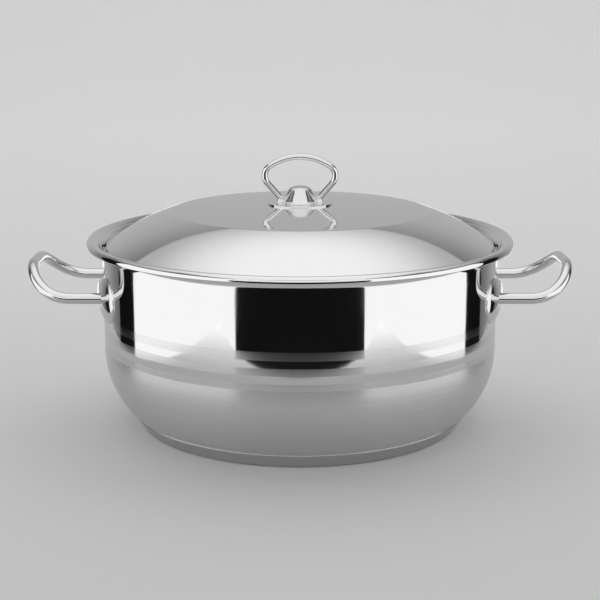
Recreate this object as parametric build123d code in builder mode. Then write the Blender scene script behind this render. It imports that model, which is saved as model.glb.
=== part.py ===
from build123d import *

import math
import os

# Low two-handled steel pot with a drop-in lid.
# Frame: millimetres, +Z up, pot axis on Z, underside of the base at Z = 0.
# The two side handles point along -X (left) and +X (right); the front is -Y.

# ---------------------------------------------------------------- overall sizes
inner_radius = 160.0        # inside of the straight wall, a nominal 32 cm pot
pot_height = 154.2          # underside of the base to the crest of the rim

# ---------------------------------------------------------------- sheet metal
pot_sheet = 0.8             # wall and floor of the pot
lid_sheet = 0.8
cap_sheet = 0.8             # stainless capsule under the base
bracket_sheet = 1.2         # pressed plates that carry the side handles
seat_gap = 0.3              # clearance between the lid's edge and the pot

# ---------------------------------------------------------------- pot body
core_thickness = 6.65       # aluminium disc between capsule and pot floor
knuckle_radius = 15.0       # tight bend between the floor and the bowl
bowl_radius = 71.0          # large bend between the floor and the straight wall
bowl_angle = 46.24          # part of the large bend, degrees below the horizontal
flare_radius = 12.0         # bend where the wall turns outwards into the rim
flare_angle = 31.0          # slope of the rim's inner face, degrees
lip_radius = 4.0            # rolled outer edge of the rim
lip_end_angle = 15.0        # how far the rolled edge turns back under, degrees
rim_width = 13.3            # from the inside of the wall to the outermost edge

# ---------------------------------------------------------------- base capsule
cap_inset = 8.0             # bottom edge of the capsule, in from its upper edge
cap_lip = 0.6               # upper edge of the capsule, proud of the pot
cap_corner = 3.5            # rounding of the capsule's bottom edge

# ---------------------------------------------------------------- lid
dome_slope = 5.2            # slope of the top where it meets the crease, degrees
crease_radius = 10.0        # soft crease around the top
side_radius = 192.0         # convex side below the crease
side_slope = 17.5           # slope of the side just below the crease, degrees
side_end_slope = 34.6       # slope of the side at its foot, degrees
foot_radius = 3.0           # bend where the side turns straight down
lid_drop = 4.5              # straight drop into the mouth of the pot
channel_radius = 0.55       # inside bend at the bottom of the edge channel
seat_slope = 47.0           # slope of the lid's free edge, degrees

# ---------------------------------------------------------------- lid bracket
knob_height = 14.6          # crown of the bracket above the middle of the lid
knob_crown_radius = 20.0    # flattened top of the crown
knob_crown_angle = 20.0     # half of the flattened part, degrees
knob_side_radius = 5.0      # shoulder of the crown
knob_side_slope = 60.0      # slope of the bell below the shoulder, degrees
knob_foot_radius = 15.3     # radius of the crown where it meets the flange
knob_fillet = 3.5           # bend between crown and flange
flange_radius = 26.4        # round flange lying on the lid
flange_gap = 0.05           # weld line between flange and lid
tunnel_play = 0.3           # room left by the pressing around the wire
tunnel_reach = 18.6         # mouth of each tunnel, from the axis
tunnel_mouth_bend = 1.2     # rounding of each tunnel's mouth
bracket_wall = 1.0          # thickness of the pressed bracket

# ---------------------------------------------------------------- lid loop
wire_diameter = 5.1
loop_top = 40.5             # top of the loop above the middle of the lid
arch_radius = 44.0          # centreline of the long top curve
arch_half_angle = 33.6      # degrees
corner_radius = 9.5         # centreline of the side bends
leg_angle = 49.0            # slope of the legs, degrees
leg_gap = 0.82              # end of each leg, above the middle of the lid

# ---------------------------------------------------------------- side handles
rod_diameter = 8.8
leg_spacing = 97.6          # centre to centre of the two legs
leg_drop = 43.0             # centreline of the legs, below the crest of the rim
flat_reach = 182.4          # legs run level to this distance from the axis
upturn_radius = 36.4        # bend that lifts the outer end of the loop
upturn_angle = 57.6         # degrees
tip_length = 5.5            # straight part beyond the upward bend
loop_corner = 37.9          # rounding of the loop's two outer corners
leg_steps = 4               # fitting points along each leg
loop_steps = 6              # fitting points around each rounded corner of the loop

# ---------------------------------------------------------------- handle brackets
bracket_half_length = 73.0  # along the wall
bracket_half_height = 18.3
bracket_rise = 4.9          # how far the plate stands off the wall
bracket_rim = 2.4           # flat foot of the plate that lies on the wall
bracket_corner = 17.0
bracket_drop = 1.0          # middle of the plate, below the legs
bracket_end_power = 8       # higher is squarer towards the two ends
bracket_blank_depth = 40.0  # thickness of the block each plate is trimmed from
bracket_long_spill = 1.08   # fitted face against the plate's half length
bracket_tall_spill = 1.15   # fitted face against the plate's half height
bracket_long_steps = 28     # fitting points along the plate
bracket_tall_steps = 14     # fitting points up the plate
bracket_fit = 0.01          # how closely the fitted face keeps to its points

cut_past = 20.0             # how far a cutting cylinder runs past what it cuts


def slope_sin(angle):
    return math.sin(math.radians(angle))


def slope_cos(angle):
    return math.cos(math.radians(angle))


# ---------------------------------------------------------------- derived sizes
wall_radius = inner_radius + pot_sheet
floor_underside = cap_sheet + core_thickness
bowl_sin = slope_sin(bowl_angle)
bowl_cos = slope_cos(bowl_angle)
bowl_top = floor_underside + knuckle_radius + (bowl_radius - knuckle_radius) * bowl_sin
flat_radius = wall_radius - bowl_radius + (bowl_radius - knuckle_radius) * bowl_cos
joint_radius = wall_radius - bowl_radius * (1 - bowl_cos)
joint_height = bowl_top - bowl_radius * bowl_sin

flare_sin = slope_sin(flare_angle)
flare_cos = slope_cos(flare_angle)
lip_centre_z = pot_height - lip_radius
lip_centre_r = inner_radius + rim_width - lip_radius
centre_offset = lip_centre_r - (inner_radius + flare_radius)
flare_start = lip_centre_z - (flare_radius - lip_radius + centre_offset * flare_sin) / flare_cos
rim_slope_length = centre_offset * flare_cos + (lip_centre_z - flare_start) * flare_sin

# Foot of the lid's side: outside of the channel, one channel width inside its edge.
channel_outer = inner_radius - seat_gap - lid_sheet
channel_inner = channel_outer - 2 * channel_radius
side_run = side_radius * (slope_sin(side_end_slope) - slope_sin(side_slope))
side_fall = side_radius * (slope_cos(side_slope) - slope_cos(side_end_slope))
crease_run = crease_radius * (slope_sin(side_slope) - slope_sin(dome_slope))
crease_fall = crease_radius * (slope_cos(dome_slope) - slope_cos(side_slope))
foot_run = foot_radius * (1 - slope_sin(side_end_slope))
foot_fall = foot_radius * slope_cos(side_end_slope)
dome_edge = channel_inner - foot_run - side_run - crease_run
dome_curve = dome_edge / slope_sin(dome_slope)
dome_fall = dome_curve * (1 - slope_cos(dome_slope))
lid_top = flare_start + lid_drop + foot_fall + side_fall + crease_fall + dome_fall

leg_height = pot_height - leg_drop
bracket_height = leg_height - bracket_drop

# Each leg of the lid's loop is as long as it takes to end just above the lid.
loop_crown = lid_top + loop_top - wire_diameter / 2
arch_fall = arch_radius * (1 - slope_cos(arch_half_angle))
corner_fall = corner_radius * (slope_cos(arch_half_angle) + slope_cos(leg_angle))
leg_end = lid_top + leg_gap + wire_diameter / 2 * slope_cos(leg_angle)
leg_length = (loop_crown - arch_fall - corner_fall - leg_end) / slope_sin(leg_angle)

tunnel_radius = wire_diameter / 2 + bracket_wall + tunnel_play
knob_crown = lid_top + knob_height


def heading(angle):
    """Direction in the profile plane at an angle above the outward horizontal."""
    return (slope_cos(angle), slope_sin(angle))


# ---------------------------------------------------------------- pot body
def draw_bowl():
    """Outer face of the pot from the axis up to the straight wall."""
    floor = Line((0, floor_underside), (flat_radius, floor_underside))
    knuckle = JernArc(floor @ 1, heading(0), knuckle_radius, 90 - bowl_angle)
    return JernArc(knuckle @ 1, heading(90 - bowl_angle), bowl_radius, bowl_angle)


def draw_pot_underside():
    """Outer face of the pot from the axis to the rolled edge of the rim."""
    bowl = draw_bowl()
    wall = Line(bowl @ 1, (wall_radius, flare_start))
    flare = JernArc(wall @ 1, heading(90), flare_radius - pot_sheet, flare_angle - 90)
    slope = PolarLine(flare @ 1, rim_slope_length, flare_angle)
    JernArc(slope @ 1, heading(flare_angle), lip_radius - pot_sheet,
            -(flare_angle + 90 + lip_end_angle))


def make_pot_shell():
    with BuildPart() as pot_shell:
        with BuildSketch(Plane.XZ):
            with BuildLine():
                draw_pot_underside()
                offset(amount=pot_sheet, side=Side.LEFT)
            make_face()
        revolve(axis=Axis.Z)
    return pot_shell


def make_pot_blank():
    """The pot's bowl as a filled solid, used to shape what lies against it."""
    with BuildPart() as blank:
        with BuildSketch(Plane.XZ):
            with BuildLine():
                bowl = draw_bowl()
                Polyline(bowl @ 1, (0, bowl_top), (0, floor_underside))
            make_face()
        revolve(axis=Axis.Z)
    return blank.part


def make_base_blank(inset, top):
    """Filled shape of the capsule, shrunk by inset, cut off level at top."""
    edge_radius = joint_radius + cap_lip
    side_tilt = math.atan2(joint_height, cap_inset)
    shrink = inset / math.sin(side_tilt)
    foot_shift = inset / math.tan(side_tilt)
    foot = edge_radius - cap_inset - shrink + foot_shift
    head = foot + (top - inset) / math.tan(side_tilt)
    with BuildPart() as blank:
        with BuildSketch(Plane.XZ):
            with BuildLine():
                Polyline((0, top), (0, inset), (foot, inset), (head, top), (0, top))
            make_face()
        revolve(axis=Axis.Z)
        fillet(blank.edges().group_by(Axis.Z)[0].sort_by(Edge.length)[-1], cap_corner)
    return blank.part


def make_base_core(pot_blank):
    with BuildPart() as base_core:
        add(make_base_blank(cap_sheet, joint_height - cap_sheet))
        add(pot_blank, mode=Mode.SUBTRACT)
    return base_core


def make_base_cap(pot_blank):
    with BuildPart() as base_cap:
        add(make_base_blank(0, joint_height))
        add(make_base_blank(cap_sheet, joint_height - cap_sheet), mode=Mode.SUBTRACT)
        add(pot_blank, mode=Mode.SUBTRACT)
    return base_cap


# ---------------------------------------------------------------- side handles
def on_loop(side, out, across):
    """Point of the bent loop, from its distance past the bend start and its Y."""
    turn = min(max(out / upturn_radius, 0.0), math.radians(upturn_angle))
    rest = max(out - math.radians(upturn_angle) * upturn_radius, 0.0)
    reach = flat_reach + upturn_radius * math.sin(turn) + rest * math.cos(turn)
    height = leg_height + upturn_radius * (1 - math.cos(turn)) + rest * math.sin(turn)
    return (side * reach, across, height)


def make_handle_rod(side):
    """Round rod bent into a loop; side is -1 for left, +1 for right."""
    half = leg_spacing / 2
    root = math.sqrt(wall_radius ** 2 - half ** 2) - rod_diameter
    corner_start = math.radians(upturn_angle) * upturn_radius + tip_length - loop_corner
    near_half = []
    for step in range(leg_steps + 1):
        reach = root + (flat_reach - root) * step / leg_steps
        near_half.append((side * reach, half, leg_height))
    for step in range(loop_steps + 1):
        turn = math.radians(90) * step / loop_steps
        out = corner_start + loop_corner * math.sin(turn)
        near_half.append(on_loop(side, out, half - loop_corner * (1 - math.cos(turn))))
    far_half = [(x, -y, z) for x, y, z in reversed(near_half)]
    with BuildPart() as rod:
        with BuildLine() as path:
            Spline(*near_half, *far_half)
        with BuildSketch(Plane(origin=near_half[0], z_dir=(side, 0, 0))):
            Circle(rod_diameter / 2)
        sweep(path=path.wires()[0])
        with Locations((0, 0, leg_height)):
            Cylinder(wall_radius, rod_diameter + 2 * cut_past, mode=Mode.SUBTRACT)
    return rod


def pillow_face(side, foot, rise, half_length, half_height):
    """Gently domed face wrapped on the wall; foot and rise are heights over it."""
    grid = []
    for i in range(bracket_long_steps + 1):
        along = bracket_long_spill * (2 * i / bracket_long_steps - 1)
        row = []
        for j in range(bracket_tall_steps + 1):
            up = bracket_tall_spill * (2 * j / bracket_tall_steps - 1)
            swell = 1 - abs(along) ** bracket_end_power - up ** 2
            radius = wall_radius + foot + rise * swell
            azimuth = along * half_length / wall_radius
            row.append(Vector(side * radius * math.cos(azimuth),
                              radius * math.sin(azimuth),
                              bracket_height + up * half_height))
        grid.append(row)
    return Face.make_surface_from_array_of_points(grid, tol=bracket_fit, min_deg=3, max_deg=5)


def make_handle_bracket(side, rod):
    """Pressed plate, domed outwards, with its edge lying on the wall."""
    rise = bracket_rise - bracket_sheet
    outer = pillow_face(side, bracket_sheet, rise, bracket_half_length, bracket_half_height)
    inner = pillow_face(side, 0, rise, bracket_half_length - bracket_rim,
                        bracket_half_height - bracket_rim)
    half_chord = wall_radius * math.sin(bracket_half_length / wall_radius)
    with BuildPart() as bracket:
        extrude(outer, amount=bracket_blank_depth, dir=(-side, 0, 0))
        with BuildSketch(Plane(origin=(0, 0, bracket_height), x_dir=(0, 1, 0), z_dir=(side, 0, 0))):
            RectangleRounded(2 * half_chord, 2 * bracket_half_height, bracket_corner)
        extrude(amount=2 * wall_radius, mode=Mode.INTERSECT)
        with Locations((0, 0, bracket_height)):
            Cylinder(wall_radius, 2 * (bracket_half_height + cut_past), mode=Mode.SUBTRACT)
        extrude(inner, amount=bracket_blank_depth, dir=(-side, 0, 0), mode=Mode.SUBTRACT)
        add(rod.part, mode=Mode.SUBTRACT)
    return bracket


# ---------------------------------------------------------------- lid
def draw_lid_top():
    """Upper face of the lid from the axis to its free edge."""
    dome = JernArc((0, lid_top), heading(0), dome_curve, -dome_slope)
    crease = JernArc(dome @ 1, heading(-dome_slope), crease_radius, dome_slope - side_slope)
    side = JernArc(crease @ 1, heading(-side_slope), side_radius, side_slope - side_end_slope)
    foot = JernArc(side @ 1, heading(-side_end_slope), foot_radius, side_end_slope - 90)
    drop = Line(foot @ 1, (channel_inner, flare_start))
    channel = JernArc(drop @ 1, heading(-90), channel_radius, 180)
    JernArc(channel @ 1, heading(90), flare_radius + seat_gap + lid_sheet, seat_slope - 90)


def make_lid_shell():
    with BuildPart() as lid_shell:
        with BuildSketch(Plane.XZ):
            with BuildLine():
                draw_lid_top()
                offset(amount=lid_sheet, side=Side.RIGHT)
            make_face()
        revolve(axis=Axis.Z)
    return lid_shell


def make_lid_loop():
    """Upright wire loop; the legs lean inwards to the bracket."""
    with BuildPart() as lid_loop:
        with BuildLine(Plane.XZ) as path:
            arch = JernArc((0, loop_crown), heading(0), arch_radius, -arch_half_angle)
            turn = 180 - leg_angle - arch_half_angle
            corner = JernArc(arch @ 1, heading(-arch_half_angle), corner_radius, -turn)
            PolarLine(corner @ 1, leg_length, 180 + leg_angle)
            mirror(about=Plane.YZ)
        wire = path.wires()[0]
        with BuildSketch(Plane(origin=wire @ 0, z_dir=wire % 0)):
            Circle(wire_diameter / 2)
        sweep(path=wire)
    return lid_loop


def draw_crown(top, crown_radius, shoulder_radius, foot_radius, foot_height):
    """Half outline of the bracket's crown, from the axis to its foot."""
    crown = JernArc((0, top), heading(0), crown_radius, -knob_crown_angle)
    shoulder = JernArc(crown @ 1, heading(-knob_crown_angle), shoulder_radius,
                       knob_crown_angle - knob_side_slope)
    return Line(shoulder @ 1, (foot_radius, foot_height))


def make_lid_bracket(lid_loop):
    """Pressed crown with a round flange and two tunnels that grip the wire."""
    flange_top = lid_top + flange_gap + bracket_wall
    flange_fall = dome_curve - math.sqrt(dome_curve ** 2 - flange_radius ** 2)
    buried = lid_top - bracket_wall - flange_fall
    with BuildPart() as lid_bracket:
        with BuildSketch(Plane.XZ):
            with BuildLine():
                side = draw_crown(knob_crown, knob_crown_radius, knob_side_radius,
                                  knob_foot_radius, flange_top)
                Polyline(side @ 1, (flange_radius, flange_top - flange_fall),
                         (flange_radius, buried), (0, buried), (0, knob_crown))
            make_face()
        revolve(axis=Axis.Z)
        crown_foot = lid_bracket.edges().filter_by(GeomType.CIRCLE).filter_by(
            lambda edge: math.isclose(edge.radius, knob_foot_radius))
        fillet(crown_foot, knob_fillet)
        with Locations(Location((0, 0, flange_top - bracket_wall / 2), (0, 90, 0))):
            Cylinder(tunnel_radius, 2 * tunnel_reach)
        mouths = lid_bracket.edges().filter_by(GeomType.CIRCLE).filter_by(
            lambda edge: math.isclose(edge.radius, tunnel_radius))
        fillet(mouths, tunnel_mouth_bend)
        with Locations((0, 0, lid_top + flange_gap - dome_curve)):
            Sphere(dome_curve, mode=Mode.SUBTRACT)
        with BuildSketch(Plane.XZ):
            with BuildLine():
                side = draw_crown(knob_crown - bracket_wall, knob_crown_radius - bracket_wall,
                                  knob_side_radius - bracket_wall,
                                  knob_foot_radius - bracket_wall, flange_top)
                Polyline(side @ 1, (knob_foot_radius - bracket_wall, buried), (0, buried),
                         (0, knob_crown - bracket_wall))
            make_face()
        revolve(axis=Axis.Z, mode=Mode.SUBTRACT)
        add(lid_loop.part, mode=Mode.SUBTRACT)
    return lid_bracket


# ---------------------------------------------------------------- build and save
def save(node, name):
    node.part.label = name
    export_step(node.part, f"parts/{name}.step")


os.makedirs("parts", exist_ok=True)

pot_shell = make_pot_shell()
save(pot_shell, "pot_shell")

pot_blank = make_pot_blank()
base_core = make_base_core(pot_blank)
save(base_core, "base_core")
base_cap = make_base_cap(pot_blank)
save(base_cap, "base_cap")

left_handle_rod = make_handle_rod(-1)
save(left_handle_rod, "left_handle_rod")
right_handle_rod = make_handle_rod(1)
save(right_handle_rod, "right_handle_rod")

left_handle_bracket = make_handle_bracket(-1, left_handle_rod)
save(left_handle_bracket, "left_handle_bracket")
right_handle_bracket = make_handle_bracket(1, right_handle_rod)
save(right_handle_bracket, "right_handle_bracket")

lid_shell = make_lid_shell()
save(lid_shell, "lid_shell")
lid_loop = make_lid_loop()
save(lid_loop, "lid_loop")
lid_bracket = make_lid_bracket(lid_loop)
save(lid_bracket, "lid_bracket")
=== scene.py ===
import math

import bmesh
import bpy
from mathutils import Matrix, Vector


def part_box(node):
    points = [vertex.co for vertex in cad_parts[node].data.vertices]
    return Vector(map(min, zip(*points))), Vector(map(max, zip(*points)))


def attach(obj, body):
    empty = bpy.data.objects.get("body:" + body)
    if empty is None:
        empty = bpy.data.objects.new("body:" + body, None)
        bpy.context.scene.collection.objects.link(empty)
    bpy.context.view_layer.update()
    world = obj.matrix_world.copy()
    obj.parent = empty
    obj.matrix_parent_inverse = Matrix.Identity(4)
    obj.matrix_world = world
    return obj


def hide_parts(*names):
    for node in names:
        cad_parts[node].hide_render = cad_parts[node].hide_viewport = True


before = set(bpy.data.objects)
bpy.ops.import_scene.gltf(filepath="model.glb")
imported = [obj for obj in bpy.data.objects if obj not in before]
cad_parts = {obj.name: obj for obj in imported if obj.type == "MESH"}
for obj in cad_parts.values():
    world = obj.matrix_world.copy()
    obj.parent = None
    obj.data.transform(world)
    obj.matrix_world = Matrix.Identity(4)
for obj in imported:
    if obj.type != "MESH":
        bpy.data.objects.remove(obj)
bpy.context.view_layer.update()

MM = 0.001

# ---------------------------------------------------------------- sizes taken from the frame
pot_low, pot_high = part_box("pot_shell")
lid_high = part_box("lid_shell")[1]
rod_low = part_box("right_handle_rod")[0]
plate_low, plate_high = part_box("right_handle_bracket")
loop_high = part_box("lid_loop")[1]
cap_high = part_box("base_cap")[1]

rim_radius = min(pot_high.x, pot_high.y, -pot_low.x, -pot_low.y)
rim_top = pot_high.z
floor_underside = pot_low.z
lid_top = lid_high.z
cap_top = cap_high.z
cap_radius = cap_high.x
wire_radius = loop_high.y
loop_crown = loop_high.z - wire_radius

# ---------------------------------------------------------------- sheet and bend sizes
sheet = 0.8 * MM
rim_width = 13.3 * MM
wall_radius = rim_radius - rim_width + sheet
knuckle_radius = 15.0 * MM
bowl_radius = 71.0 * MM
bowl_angle = 46.24
flare_radius = 12.0 * MM
flare_angle = 31.0
lip_radius = 4.0 * MM
lip_turn = 136.0

# Bands polished and brushed around the wall, by height from the underside.
brushed_bands = ((67.9 * MM, 72.9 * MM), (78.9 * MM, 84.6 * MM), (90.4 * MM, 96.8 * MM))
satin_top = brushed_bands[0][0]

dome_slope = 5.2
crease_radius = 10.0 * MM
side_radius = 192.0 * MM
side_slope = 17.5
side_end_slope = 34.6
foot_radius = 3.0 * MM
channel_radius = 0.55 * MM
seat_gap = 0.3 * MM
seat_slope = 47.0

cap_inset = 8.0 * MM
cap_corner = 3.5 * MM
cap_roll = 0.5 * MM
groove_turn = 75.0        # the rolled edge dips into the joint with the pot
groove_depth = 0.9 * MM

rod_radius = 4.4 * MM
leg_spacing = 97.6 * MM
leg_height = rod_low.z + rod_radius
flat_reach = 182.4 * MM
upturn_radius = 36.4 * MM
upturn_angle = math.radians(57.6)
tip_length = 5.5 * MM
loop_corner = 37.9 * MM

plate_sheet = 1.2 * MM
plate_swell = 3.7 * MM
plate_half_length = 73.0 * MM
plate_half_height = (plate_high.z - plate_low.z) / 2
plate_height = (plate_high.z + plate_low.z) / 2
plate_corner = 17.0 * MM
plate_edge_round = 0.6 * MM
plate_end_power = 8

arch_radius = 44.0 * MM
arch_half_angle = 33.6
corner_radius = 9.5 * MM
leg_angle = 49.0
leg_length = 18.496 * MM

around = 288              # facets around the pot's axis
on_axis = 1e-7            # a ring smaller than this closes to a point
bar_sides = 44            # facets around a handle rod
wire_sides = 40
upper_wall_rings = 6      # rings between the top band and the flare
rod_leg_rings = 20
rod_corner_rings = 44
plate_sides = 160
plate_centre_rings = 20   # evenly spaced rings from the plate's middle outwards
plate_ring_share = 22     # their spacing goes this many times into the way to the edge
plate_edge_shares = [0.93, 0.955, 0.975, 0.985, 0.992, 0.997, 1.0]
plate_edge_reach = 0.35   # share of the ring's shrinkage that counts as inset from the edge
plate_least_stand = 0.1 * MM


# ---------------------------------------------------------------- outlines
class Outline:
    """A sheet's outline in radius and height, drawn as tangent lines and arcs."""

    def __init__(self, radius, height, heading):
        self.heading = math.radians(heading)
        self.samples = [(radius, height, self.heading)]

    def line(self, length, steps=1):
        radius, height, _ = self.samples[-1]
        for step in range(1, steps + 1):
            along = length * step / steps
            self.samples.append((radius + along * math.cos(self.heading),
                                 height + along * math.sin(self.heading), self.heading))
        return self

    def climb_to(self, heights):
        """Straight up or down, with a ring at each of these heights."""
        radius = self.samples[-1][0]
        for height in heights:
            self.samples.append((radius, height, self.heading))
        return self

    def arc(self, radius, turn, steps):
        """Positive turns bend towards the axis side, as on the way up a bowl."""
        bend = math.radians(turn)
        way = math.copysign(1, bend)
        start_r, start_z, _ = self.samples[-1]
        centre_r = start_r - way * radius * math.sin(self.heading)
        centre_z = start_z + way * radius * math.cos(self.heading)
        first = self.heading
        for step in range(1, steps + 1):
            heading = first + bend * step / steps
            self.samples.append((centre_r + way * radius * math.sin(heading),
                                 centre_z - way * radius * math.cos(heading), heading))
        self.heading = first + bend
        return self

    def face(self):
        return [(radius, height) for radius, height, _ in self.samples]

    def offset(self, thickness):
        """The sheet's other face; positive is to the left of the direction drawn."""
        return [(max(radius - thickness * math.sin(heading), 0.0),
                 height + thickness * math.cos(heading))
                for radius, height, heading in self.samples]


def turned(name, profile, pick_material, materials, body, nodes):
    """Solid of revolution; pick_material names the material of each ring of faces."""
    mesh_data = bmesh.new()
    rings = []
    for radius, height in profile:
        if radius < on_axis:
            rings.append([mesh_data.verts.new((0, 0, height))])
            continue
        rings.append([mesh_data.verts.new((radius * math.cos(2 * math.pi * k / around),
                                           radius * math.sin(2 * math.pi * k / around), height))
                      for k in range(around)])
    closing = 0 if len(rings[0]) == 1 and len(rings[-1]) == 1 else 1
    for index in range(len(rings) - 1 + closing):
        near, far = rings[index], rings[(index + 1) % len(rings)]
        choice = pick_material(index, profile)
        for k in range(around):
            turn = (k + 1) % around
            corners = [near[k % len(near)], near[turn % len(near)],
                       far[turn % len(far)], far[k % len(far)]]
            distinct = list(dict.fromkeys(corners))
            if len(distinct) > 2:
                face = mesh_data.faces.new(distinct)
                face.smooth = True
                face.material_index = choice
    return finish_piece(name, mesh_data, materials, body, nodes)


def finish_piece(name, mesh_data, materials, body, nodes):
    bmesh.ops.recalc_face_normals(mesh_data, faces=mesh_data.faces)
    mesh = bpy.data.meshes.new(name)
    mesh_data.to_mesh(mesh)
    mesh_data.free()
    piece = bpy.data.objects.new(name, mesh)
    bpy.context.scene.collection.objects.link(piece)
    for material in materials:
        mesh.materials.append(material)
    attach(piece, body)
    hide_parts(*nodes)
    return piece


def tube(name, path, radius, sides, material, body, node):
    """Round bar along a path, with its frame carried along without twist."""
    mesh_data = bmesh.new()
    tangents = []
    for index in range(len(path)):
        before = path[max(index - 1, 0)]
        after = path[min(index + 1, len(path) - 1)]
        tangents.append((after - before).normalized())
    across = tangents[0].orthogonal().normalized()
    rings = []
    for index, point in enumerate(path):
        if index:
            across = tangents[index - 1].rotation_difference(tangents[index]) @ across
        other = tangents[index].cross(across).normalized()
        ring = []
        for k in range(sides):
            turn = 2 * math.pi * k / sides
            outward = math.cos(turn) * across + math.sin(turn) * other
            ring.append(mesh_data.verts.new(point + radius * outward))
        rings.append(ring)
    for near, far in zip(rings, rings[1:]):
        for k in range(sides):
            turn = (k + 1) % sides
            mesh_data.faces.new((near[k], near[turn], far[turn], far[k])).smooth = True
    mesh_data.faces.new(rings[0])
    mesh_data.faces.new(rings[-1])
    return finish_piece(name, mesh_data, [material], body, [node])


# ---------------------------------------------------------------- effects shared by the metals
def new_group(name, inputs, outputs):
    group = bpy.data.node_groups.new(name, "ShaderNodeTree")
    for label, value in inputs:
        socket = group.interface.new_socket(name=label, in_out="INPUT",
                                            socket_type="NodeSocketFloat")
        socket.default_value = value
    for label in outputs:
        group.interface.new_socket(name=label, in_out="OUTPUT", socket_type="NodeSocketFloat")
    return group, group.nodes.new("NodeGroupInput"), group.nodes.new("NodeGroupOutput")


def make_polish_haze():
    """Faint uneven polish: roughness drifts between two values over the surface."""
    group, given, result = new_group("polish_haze",
                                     (("Patch scale", 18.0), ("Low", 0.03), ("High", 0.06)),
                                     ("Roughness", "Height"))
    nodes, links = group.nodes, group.links
    place = nodes.new("ShaderNodeTexCoord")
    patches = nodes.new("ShaderNodeTexNoise")
    patches.inputs["Detail"].default_value = 4.0
    links.new(place.outputs["Object"], patches.inputs["Vector"])
    links.new(given.outputs["Patch scale"], patches.inputs["Scale"])
    spread = nodes.new("ShaderNodeMapRange")
    spread.inputs["From Min"].default_value = 0.35
    spread.inputs["From Max"].default_value = 0.65
    links.new(patches.outputs["Fac"], spread.inputs["Value"])
    links.new(given.outputs["Low"], spread.inputs["To Min"])
    links.new(given.outputs["High"], spread.inputs["To Max"])
    links.new(spread.outputs["Result"], result.inputs["Roughness"])
    links.new(patches.outputs["Fac"], result.inputs["Height"])
    return group


def make_round_brushing():
    """Fine lines that run around the axis, as left by a turning abrasive belt."""
    group, given, result = new_group("round_brushing",
                                     (("Lines", 2600.0), ("Low", 0.2), ("High", 0.34)),
                                     ("Roughness", "Height", "Tone"))
    nodes, links = group.nodes, group.links
    place = nodes.new("ShaderNodeTexCoord")
    parts = nodes.new("ShaderNodeSeparateXYZ")
    links.new(place.outputs["Object"], parts.inputs["Vector"])
    flat = nodes.new("ShaderNodeCombineXYZ")
    links.new(parts.outputs["X"], flat.inputs["X"])
    links.new(parts.outputs["Y"], flat.inputs["Y"])
    radius = nodes.new("ShaderNodeVectorMath")
    radius.operation = "LENGTH"
    links.new(flat.outputs["Vector"], radius.inputs[0])
    ring = nodes.new("ShaderNodeCombineXYZ")
    links.new(radius.outputs["Value"], ring.inputs["X"])
    links.new(parts.outputs["Z"], ring.inputs["Y"])
    lines = nodes.new("ShaderNodeTexNoise")
    lines.inputs["Detail"].default_value = 3.0
    links.new(ring.outputs["Vector"], lines.inputs["Vector"])
    links.new(given.outputs["Lines"], lines.inputs["Scale"])
    spread = nodes.new("ShaderNodeMapRange")
    links.new(lines.outputs["Fac"], spread.inputs["Value"])
    links.new(given.outputs["Low"], spread.inputs["To Min"])
    links.new(given.outputs["High"], spread.inputs["To Max"])
    links.new(spread.outputs["Result"], result.inputs["Roughness"])
    links.new(lines.outputs["Fac"], result.inputs["Height"])
    links.new(lines.outputs["Fac"], result.inputs["Tone"])
    return group


def make_upright_ripple():
    """Faint ripple that changes around the axis and hardly at all with height."""
    group, given, result = new_group("upright_ripple", (("Ripples", 70.0), ("Rise", 2.0)),
                                     ("Height",))
    nodes, links = group.nodes, group.links
    place = nodes.new("ShaderNodeTexCoord")
    flatten = nodes.new("ShaderNodeVectorMath")
    flatten.operation = "MULTIPLY"
    flatten.inputs[1].default_value = (1, 1, 0)
    links.new(place.outputs["Object"], flatten.inputs[0])
    outward = nodes.new("ShaderNodeVectorMath")
    outward.operation = "NORMALIZE"
    links.new(flatten.outputs["Vector"], outward.inputs[0])
    spread = nodes.new("ShaderNodeVectorMath")
    spread.operation = "SCALE"
    links.new(outward.outputs["Vector"], spread.inputs[0])
    links.new(given.outputs["Ripples"], spread.inputs["Scale"])
    parts = nodes.new("ShaderNodeSeparateXYZ")
    links.new(place.outputs["Object"], parts.inputs["Vector"])
    climb = nodes.new("ShaderNodeMath")
    climb.operation = "MULTIPLY"
    links.new(parts.outputs["Z"], climb.inputs[0])
    links.new(given.outputs["Rise"], climb.inputs[1])
    upward = nodes.new("ShaderNodeCombineXYZ")
    links.new(climb.outputs["Value"], upward.inputs["Z"])
    together = nodes.new("ShaderNodeVectorMath")
    links.new(spread.outputs["Vector"], together.inputs[0])
    links.new(upward.outputs["Vector"], together.inputs[1])
    ripple = nodes.new("ShaderNodeTexNoise")
    ripple.inputs["Scale"].default_value = 1.0
    ripple.inputs["Detail"].default_value = 2.0
    links.new(together.outputs["Vector"], ripple.inputs["Vector"])
    links.new(ripple.outputs["Fac"], result.inputs["Height"])
    return group


polish_haze = make_polish_haze()
upright_ripple = make_upright_ripple()
round_brushing = make_round_brushing()


def start_material(name, metallic=1.0):
    material = bpy.data.materials.new(name)
    material.use_nodes = True
    shader = material.node_tree.nodes["Principled BSDF"]
    shader.inputs["Metallic"].default_value = metallic
    return material, material.node_tree.nodes, material.node_tree.links, shader


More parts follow.
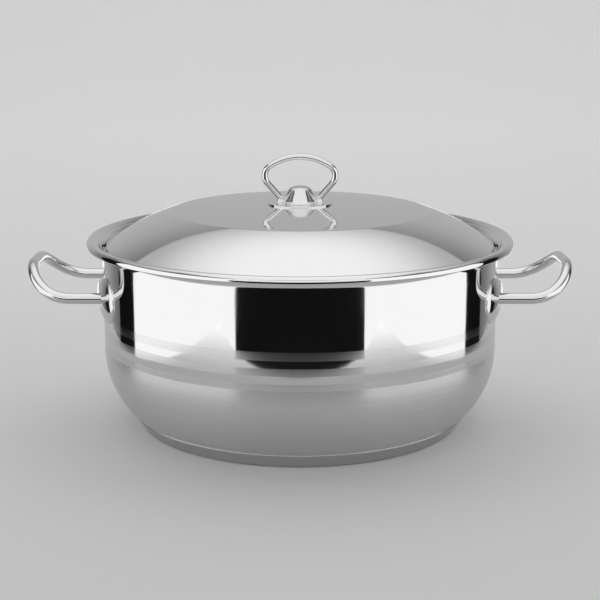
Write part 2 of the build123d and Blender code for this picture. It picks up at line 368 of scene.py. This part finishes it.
def add_bump(nodes, links, shader, height, distance, ripple_depth=0.0):
    """Bump from a height, over the upright ripple where the metal has one."""
    bump = nodes.new("ShaderNodeBump")
    bump.inputs["Distance"].default_value = distance
    links.new(height, bump.inputs["Height"])
    links.new(bump.outputs["Normal"], shader.inputs["Normal"])
    if ripple_depth:
        ripple = nodes.new("ShaderNodeGroup")
        ripple.node_tree = upright_ripple
        ripple_bump = nodes.new("ShaderNodeBump")
        ripple_bump.inputs["Distance"].default_value = ripple_depth
        links.new(ripple.outputs["Height"], ripple_bump.inputs["Height"])
        links.new(ripple_bump.outputs["Normal"], bump.inputs["Normal"])


def polished(name, grey, low, high, patch_scale, wave, ripple_depth=0.0):
    """Mirror-polished steel; wave is the height of its faint unevenness."""
    material, nodes, links, shader = start_material(name)
    shader.inputs["Base Color"].default_value = (grey, grey, grey * 1.005, 1)
    haze = nodes.new("ShaderNodeGroup")
    haze.node_tree = polish_haze
    haze.inputs["Patch scale"].default_value = patch_scale
    haze.inputs["Low"].default_value = low
    haze.inputs["High"].default_value = high
    links.new(haze.outputs["Roughness"], shader.inputs["Roughness"])
    add_bump(nodes, links, shader, haze.outputs["Height"], wave, ripple_depth)
    return material


def brushed(name, dark, light, low, high, lines, depth, stretch, ripple_depth=0.0):
    """Steel brushed around the axis; stretch draws reflections out across the lines."""
    material, nodes, links, shader = start_material(name)
    grain = nodes.new("ShaderNodeGroup")
    grain.node_tree = round_brushing
    grain.inputs["Lines"].default_value = lines
    grain.inputs["Low"].default_value = low
    grain.inputs["High"].default_value = high
    tone = nodes.new("ShaderNodeMix")
    tone.data_type = "RGBA"
    tone.inputs["A"].default_value = (dark, dark, dark, 1)
    tone.inputs["B"].default_value = (light, light, light, 1)
    links.new(grain.outputs["Tone"], tone.inputs["Factor"])
    links.new(tone.outputs["Result"], shader.inputs["Base Color"])
    links.new(grain.outputs["Roughness"], shader.inputs["Roughness"])
    shader.inputs["Anisotropic"].default_value = stretch
    shader.inputs["Anisotropic Rotation"].default_value = 0.25
    ring_way = nodes.new("ShaderNodeTangent")
    ring_way.direction_type = "RADIAL"
    ring_way.axis = "Z"
    links.new(ring_way.outputs["Tangent"], shader.inputs["Tangent"])
    add_bump(nodes, links, shader, grain.outputs["Height"], depth, ripple_depth)
    return material


mirror_steel = polished("mirror_steel", 0.80, 0.04, 0.07, 22.0, 0.000006, 0.000012)
mirror_lid = polished("mirror_lid", 0.80, 0.05, 0.08, 16.0, 0.000006)
bar_steel = polished("bar_steel", 0.78, 0.05, 0.10, 60.0, 0.000003)
plate_steel = polished("plate_steel", 0.76, 0.07, 0.12, 50.0, 0.000006)
band_steel = brushed("band_steel", 0.70, 0.82, 0.08, 0.13, 3200.0, 0.000002, 0.85, 0.000012)
satin_steel = brushed("satin_steel", 0.72, 0.82, 0.25, 0.32, 2400.0, 0.000005, 0.8, 0.00001)
inside_steel = brushed("inside_steel", 0.62, 0.72, 0.24, 0.34, 1800.0, 0.000008, 0.6)
base_steel = brushed("base_steel", 0.56, 0.66, 0.20, 0.30, 2600.0, 0.000006, 0.6)
# Near-black metal for the groove where the capsule meets the pot: painted shade in the joint.
joint_shade_metal = brushed("joint_shade_metal", 0.03, 0.07, 0.40, 0.55, 1800.0, 0.000006, 0.3)
core_metal = brushed("core_metal", 0.70, 0.78, 0.40, 0.50, 1500.0, 0.00001, 0.3)


# ---------------------------------------------------------------- pot body
def make_pot():
    bend_in = math.radians(bowl_angle)
    flat_radius = wall_radius - bowl_radius + (bowl_radius - knuckle_radius) * math.cos(bend_in)
    inner_radius = wall_radius - sheet
    lip_centre_r = rim_radius - lip_radius
    lip_centre_z = rim_top - lip_radius
    slope = math.radians(flare_angle)
    centre_offset = lip_centre_r - (inner_radius + flare_radius)
    flare_start = lip_centre_z - ((flare_radius - lip_radius + centre_offset * math.sin(slope))
                                  / math.cos(slope))
    slope_length = centre_offset * math.cos(slope) + (lip_centre_z - flare_start) * math.sin(slope)
    edges = [height for band in brushed_bands for height in band]
    upper = [edges[-1] + (flare_start - edges[-1]) * step / upper_wall_rings
             for step in range(1, upper_wall_rings + 1)]
    outline = Outline(0, floor_underside, 0)
    outline.line(flat_radius, 20)
    outline.arc(knuckle_radius, 90 - bowl_angle, 14)
    outline.arc(bowl_radius, bowl_angle, 26)
    outline.climb_to(edges + upper)
    outline.arc(flare_radius - sheet, flare_angle - 90, 14)
    outline.line(slope_length, 2)
    outline.arc(lip_radius - sheet, -lip_turn, 22)
    under = outline.face()
    inside = outline.offset(sheet)
    profile = under + inside[::-1]
    wall_rows = len(under)

    def pick(index, points):
        height = (points[index][1] + points[(index + 1) % len(points)][1]) / 2
        if index >= wall_rows:
            return 3 if height < flare_start else 0
        if height < satin_top:
            return 2
        if any(low < height < high for low, high in brushed_bands):
            return 1
        return 0

    turned("pot_body", profile, pick, [mirror_steel, band_steel, satin_steel, inside_steel],
           "pot", ["pot_shell"])
    return flare_start


def make_base_cap():
    """Capsule under the pot: flat foot, rounded corner, leaning side, rolled edge, and painted
    shade on the groove faces in the joint with the pot.
    """
    tilt = math.degrees(math.atan2(cap_top, cap_inset))
    foot = cap_radius - cap_inset
    tangent = cap_corner * math.tan(math.radians(tilt) / 2)
    side_length = math.hypot(cap_inset, cap_top) - tangent - cap_roll
    outline = Outline(0, 0, 0)
    outline.line(foot - tangent, 12)
    outline.arc(cap_corner, tilt, 12)
    outline.line(side_length, 4)
    outline.arc(cap_roll, 180 - tilt, 8)
    # From here on the groove faces take the near-black metal: painted shade in the joint.
    joint_shade_start = len(outline.face()) - 1
    outline.arc(cap_roll, groove_turn, 5)
    outline.line(groove_depth)
    skin = outline.face()
    profile = skin + [(skin[-1][0] - sheet, skin[-1][1] - sheet),
                      (foot - tangent, sheet), (0, sheet)]
    turned("base_capsule", profile, lambda index, points: int(joint_shade_start <= index < len(skin)),
           [base_steel, joint_shade_metal],
           "pot", ["base_cap"])


# ---------------------------------------------------------------- lid
def make_lid(flare_start):
    channel_inner = wall_radius - sheet - seat_gap - sheet - 2 * channel_radius
    sine = {slope: math.sin(math.radians(slope))
            for slope in (dome_slope, side_slope, side_end_slope)}
    side_run = side_radius * (sine[side_end_slope] - sine[side_slope])
    crease_run = crease_radius * (sine[side_slope] - sine[dome_slope])
    foot_run = foot_radius * (1 - sine[side_end_slope])
    dome_radius = (channel_inner - foot_run - side_run - crease_run) / sine[dome_slope]
    outline = Outline(0, lid_top, 0)
    outline.arc(dome_radius, -dome_slope, 30)
    outline.arc(crease_radius, dome_slope - side_slope, 14)
    outline.arc(side_radius, side_slope - side_end_slope, 26)
    outline.arc(foot_radius, side_end_slope - 90, 12)
    outline.climb_to([flare_start])
    outline.arc(channel_radius, 180, 12)
    outline.arc(flare_radius + seat_gap + sheet, seat_slope - 90, 8)
    top = outline.face()
    under = outline.offset(-sheet)
    rows = len(top)
    turned("lid_body", top + under[::-1], lambda index, points: 0 if index < rows else 1,
           [mirror_lid, inside_steel], "lid", ["lid_shell"])


def make_lid_loop():
    """Upright wire loop: long arch, tight side bends, legs leaning in to the bracket."""
    half = Outline(0, loop_crown, 0)
    half.arc(arch_radius, -arch_half_angle, 30)
    half.arc(corner_radius, arch_half_angle + leg_angle - 180, 36)
    half.line(leg_length, 8)
    right = [Vector((x, 0, z)) for x, z in half.face()]
    left = [Vector((-point.x, 0, point.z)) for point in right[:0:-1]]
    tube("lid_wire_loop", left + right, wire_radius, wire_sides, bar_steel,
         "lid", "lid_loop")


# ---------------------------------------------------------------- side handles
def on_loop(side, out, across):
    """Point of the bent loop, from its distance past the bend start and its Y."""
    turn = min(max(out / upturn_radius, 0.0), upturn_angle)
    rest = max(out - upturn_angle * upturn_radius, 0.0)
    lead = min(out, 0.0)
    reach = flat_reach + lead + upturn_radius * math.sin(turn) + rest * math.cos(turn)
    height = leg_height + upturn_radius * (1 - math.cos(turn)) + rest * math.sin(turn)
    return Vector((side * reach, across, height))


def make_handle_rod(side, name, node):
    half = leg_spacing / 2
    root = math.sqrt(wall_radius ** 2 - half ** 2) + sheet
    corner_start = upturn_angle * upturn_radius + tip_length - loop_corner
    near = []
    for step in range(rod_leg_rings):
        out = (root - flat_reach) + (flat_reach - root + corner_start) * step / rod_leg_rings
        near.append(on_loop(side, out, half))
    for step in range(rod_corner_rings + 1):
        turn = math.radians(90) * step / rod_corner_rings
        near.append(on_loop(side, corner_start + loop_corner * math.sin(turn),
                            half - loop_corner * (1 - math.cos(turn))))
    far = [Vector((point.x, -point.y, point.z)) for point in reversed(near)]
    tube(name, near + far, rod_radius, bar_sides, bar_steel, "pot", node)


def plate_outline(turn):
    """Rounded rectangle, measured from its middle along the wall and up."""
    half_chord = wall_radius * math.sin(plate_half_length / wall_radius)
    straight = half_chord - plate_corner
    rise = plate_half_height - plate_corner
    cos, sin = math.cos(turn), math.sin(turn)
    return (math.copysign(straight, cos) + plate_corner * cos,
            math.copysign(rise, sin) + plate_corner * sin)


def plate_point(side, along, up, drop):
    """Point of the domed plate over the wall, lowered by drop."""
    azimuth = math.asin(along / wall_radius)
    share = azimuth * wall_radius / plate_half_length
    lift = (up / plate_half_height) ** 2
    stand = plate_sheet + plate_swell * (1 - abs(share) ** plate_end_power - lift) - drop
    radius = wall_radius + max(stand, plate_least_stand)
    return Vector((side * math.sqrt(radius ** 2 - along ** 2), along, plate_height + up))


def make_handle_plate(side, name, node):
    """Domed plate wrapped on the wall, with a small rounding along its edge."""
    turns = [2 * math.pi * (k + 0.5) / plate_sides for k in range(plate_sides)]
    shares = [step / plate_ring_share for step in range(1, plate_centre_rings + 1)]
    shares += plate_edge_shares
    mesh_data = bmesh.new()
    middle = mesh_data.verts.new(plate_point(side, 0, 0, 0))
    rings = []
    for share in shares:
        ring = []
        for turn in turns:
            along, up = plate_outline(turn)
            inset = (1 - share) * math.hypot(along, up) * plate_edge_reach
            short = max(plate_edge_round - inset, 0.0)
            drop = plate_edge_round - math.sqrt(max(plate_edge_round ** 2 - short ** 2, 0.0))
            ring.append(mesh_data.verts.new(plate_point(side, along * share, up * share, drop)))
        rings.append(ring)
    foot = []
    for turn in turns:
        along, up = plate_outline(turn)
        foot.append(mesh_data.verts.new((side * math.sqrt(wall_radius ** 2 - along ** 2), along,
                                         plate_height + up)))
    rings.append(foot)
    for k in range(plate_sides):
        turn = (k + 1) % plate_sides
        mesh_data.faces.new((middle, rings[0][k], rings[0][turn])).smooth = True
        for near, far in zip(rings, rings[1:]):
            mesh_data.faces.new((near[k], near[turn], far[turn], far[k])).smooth = True
    finish_piece(name, mesh_data, [plate_steel], "pot", [node])


flare_start = make_pot()
make_base_cap()
make_lid(flare_start)
make_lid_loop()
for side, word in ((-1, "left"), (1, "right")):
    make_handle_rod(side, f"{word}_loop_handle", f"{word}_handle_rod")
    make_handle_plate(side, f"{word}_handle_plate", f"{word}_handle_bracket")

for node, material in (("lid_bracket", plate_steel), ("base_core", core_metal)):
    frame_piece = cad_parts[node]
    frame_piece.data.materials.clear()
    frame_piece.data.materials.append(material)


# ---------------------------------------------------------------- studio
def matt_paint(name, grey):
    material, _, _, shader = start_material(name, metallic=0.0)
    shader.inputs["Base Color"].default_value = (grey, grey, grey, 1)
    shader.inputs["Roughness"].default_value = 0.9
    shader.inputs["Specular IOR Level"].default_value = 0.0
    return material


def sweep_paint(name, grey, near, far, lift):
    """Matt paint that glows more from near to far: on the floor where the lamps reach less, on the
    reflection-only table as painted light.
    """
    material = matt_paint(name, grey)
    nodes, links = material.node_tree.nodes, material.node_tree.links
    shader = nodes["Principled BSDF"]
    shader.inputs["Emission Color"].default_value = (1, 1, 1, 1)
    place = nodes.new("ShaderNodeTexCoord")
    away = nodes.new("ShaderNodeVectorMath")
    away.operation = "LENGTH"
    links.new(place.outputs["Object"], away.inputs[0])
    rise = nodes.new("ShaderNodeMapRange")
    rise.inputs["From Min"].default_value = near
    rise.inputs["From Max"].default_value = far
    rise.inputs["To Max"].default_value = lift
    links.new(away.outputs["Value"], rise.inputs["Value"])
    links.new(rise.outputs["Result"], shader.inputs["Emission Strength"])
    return material


def glowing(name, strength):
    """Card that only gives light."""
    material, _, _, shader = start_material(name, metallic=0.0)
    shader.inputs["Base Color"].default_value = (0, 0, 0, 1)
    shader.inputs["Specular IOR Level"].default_value = 0.0
    shader.inputs["Emission Color"].default_value = (1, 1, 1, 1)
    shader.inputs["Emission Strength"].default_value = strength
    return material


def glowing_softbox(name, centre, near, far, bright, dim):
    """Softbox cloth, brightest at its centre and dimmer towards its edges."""
    material = glowing(name, 1.0)
    nodes, links = material.node_tree.nodes, material.node_tree.links
    place = nodes.new("ShaderNodeTexCoord")
    away = nodes.new("ShaderNodeVectorMath")
    away.operation = "DISTANCE"
    away.inputs[1].default_value = centre
    links.new(place.outputs["Object"], away.inputs[0])
    fall = nodes.new("ShaderNodeMapRange")
    fall.interpolation_type = "SMOOTHSTEP"
    fall.inputs["From Min"].default_value = near
    fall.inputs["From Max"].default_value = far
    fall.inputs["To Min"].default_value = bright
    fall.inputs["To Max"].default_value = dim
    links.new(away.outputs["Value"], fall.inputs["Value"])
    links.new(fall.outputs["Result"], nodes["Principled BSDF"].inputs["Emission Strength"])
    return material


def stage_mesh(name, strips, material, camera=False, glossy=True, diffuse=True, shadow=True):
    """Studio surface from rows of points; ray kinds that should not see it are switched off."""
    mesh_data = bmesh.new()
    rows = [[mesh_data.verts.new(point) for point in row] for row in strips]
    for near, far in zip(rows, rows[1:]):
        for k in range(len(near) - 1):
            mesh_data.faces.new((near[k], near[k + 1], far[k + 1], far[k])).smooth = True
    mesh = bpy.data.meshes.new(name)
    mesh_data.to_mesh(mesh)
    mesh_data.free()
    mesh.materials.append(material)
    card = bpy.data.objects.new(name, mesh)
    bpy.context.scene.collection.objects.link(card)
    card.visible_camera = camera
    card.visible_glossy = glossy
    card.visible_diffuse = diffuse
    card.visible_shadow = shadow
    return card


def curved_card(name, first, last, low, high, material, steps=10, **seen):
    """Upright card on an arc about the pot; headings are degrees from the front."""
    rows = []
    for step in range(steps + 1):
        heading = math.radians(first + (last - first) * step / steps)
        x = panel_distance * math.sin(heading)
        y = -panel_distance * math.cos(heading)
        rows.append(((x, y, low), (x, y, high)))
    return stage_mesh(name, rows, material, **seen)


def level_card(name, half_width, front, back, height, material, **seen):
    rows = [((x, front, height), (x, back, height)) for x in (-half_width, half_width)]
    return stage_mesh(name, rows, material, **seen)


def make_sweep(reach, bend, top, material, steps=96, bend_steps=16):
    """Round studio sweep: level floor that curves up into a wall on every side."""
    outline = Outline(0, 0, 0)
    outline.line(reach, 24)
    outline.arc(bend, 90, bend_steps)
    outline.line(top, 4)
    rows = []
    for step in range(steps + 1):
        heading = 2 * math.pi * step / steps
        rows.append([(radius * math.sin(heading), radius * math.cos(heading), height)
                     for radius, height in outline.face()])
    return stage_mesh("studio_sweep", rows, material,
                      camera=True, glossy=False, shadow=False)


sweep_reach = 3.4
sweep_bend = 1.6
sweep_top = 2.5
table_half_width = 0.40
table_front = -0.432
table_horn = 0.06         # how far the two front corners reach forward
table_glow = 0.80
table_back = 3.2
table_steps = 12
horn_power = 4            # higher keeps the table's front edge straighter
table_lift = 0.05 * MM
panel_distance = 1.9
panel_low = -0.9
panel_high = 1.1
inner_heading = 34.5
outer_heading = 105
strip_heading = 122
strip_high = 0.9
overhead_height = 1.5
overhead_half_width = 1.8
overhead_front = -0.2
overhead_back = 1.55
front_high_half_width = 1.2
front_high_front = -1.6
black_top = 0.30
fill_height = 3.0
fill_half_width = 1.6
fill_back = 3.4

floor_paint = sweep_paint("floor_paint", 0.89, 0.9, 3.6, 0.10)
# The table is seen only in reflections. Its glow rises with distance from the pot and is brightest
# at its front corners: painted light in the pot's reflections.
glowing_table_paint = sweep_paint("glowing_table_paint", 0.72, 0.42, 0.60, table_glow)
black_cloth = matt_paint("black_cloth", 0.012)
panel_glow = glowing("panel_glow", 1.15)
overhead_glow = glowing_softbox("overhead_glow", (0, 0.2, overhead_height), 0.3, 1.7, 1.08, 0.5)
front_glow = glowing("front_glow", 1.0)
fill_glow = glowing("fill_glow", 1.25)

make_sweep(sweep_reach, sweep_bend, sweep_top, floor_paint)
table_rows = []
for step in range(table_steps + 1):
    share = 2 * step / table_steps - 1
    x = table_half_width * share
    front = table_front - table_horn * share ** horn_power
    table_rows.append(((x, front, table_lift), (x, table_back, table_lift)))
stage_mesh("mirrored_table", table_rows, glowing_table_paint, diffuse=False, shadow=False)
curved_card("front_black", -inner_heading, inner_heading, panel_low, black_top, black_cloth,
            diffuse=False, shadow=False)
curved_card("front_upper_card", -inner_heading, inner_heading, black_top, overhead_height,
            front_glow, diffuse=False, shadow=False)
for side in (-1, 1):
    word = "left" if side < 0 else "right"
    curved_card(f"{word}_white_panel", side * inner_heading, side * outer_heading,
                panel_low, panel_high, panel_glow, shadow=False)
    curved_card(f"{word}_black_strip", side * outer_heading, side * strip_heading,
                panel_low, strip_high, black_cloth, steps=4, diffuse=False, shadow=False)
level_card("overhead_card", overhead_half_width, overhead_front, overhead_back,
           overhead_height, overhead_glow, shadow=False)
level_card("front_high_card", front_high_half_width, front_high_front, overhead_front,
           overhead_height, front_glow, diffuse=False, shadow=False)
level_card("fill_card", fill_half_width, overhead_front, fill_back,
           fill_height, fill_glow, glossy=False, shadow=False)

# The air glows most straight behind the pot and least towards the sides and front.
back_glow = 0.47
side_glow = 0.16
glow_starts = 0.55        # Y part of the direction where the glow begins to rise
glow_full = 0.96

world = bpy.data.worlds.new("studio_air")
world.use_nodes = True
air = world.node_tree.nodes
background = air["Background"]
background.inputs["Color"].default_value = (1, 1, 1, 1)
direction = air.new("ShaderNodeTexCoord")
axes = air.new("ShaderNodeSeparateXYZ")
world.node_tree.links.new(direction.outputs["Generated"], axes.inputs["Vector"])
backdrop_glow = air.new("ShaderNodeMapRange")
backdrop_glow.interpolation_type = "SMOOTHSTEP"
backdrop_glow.inputs["From Min"].default_value = glow_starts
backdrop_glow.inputs["From Max"].default_value = glow_full
backdrop_glow.inputs["To Min"].default_value = side_glow
backdrop_glow.inputs["To Max"].default_value = back_glow
world.node_tree.links.new(axes.outputs["Y"], backdrop_glow.inputs["Value"])
world.node_tree.links.new(backdrop_glow.outputs["Result"], background.inputs["Strength"])
bpy.context.scene.world = world

# ---------------------------------------------------------------- camera
sensor_width = 36.0       # millimetres, as the camera wants them
lens = 79.9
camera_distance = 1.0757
camera_height = 0.3449
camera_dip = 12.89        # degrees below the horizontal

camera_data = bpy.data.cameras.new("studio_camera")
camera_data.sensor_width = sensor_width
camera_data.lens = lens
camera = bpy.data.objects.new("studio_camera", camera_data)
camera.matrix_world = (Matrix.Translation((0, -camera_distance, camera_height))
                       @ Matrix.Rotation(math.radians(90 - camera_dip), 4, "X"))
bpy.context.scene.collection.objects.link(camera)
bpy.context.scene.camera = camera
bpy.context.scene.view_settings.view_transform = "Standard"
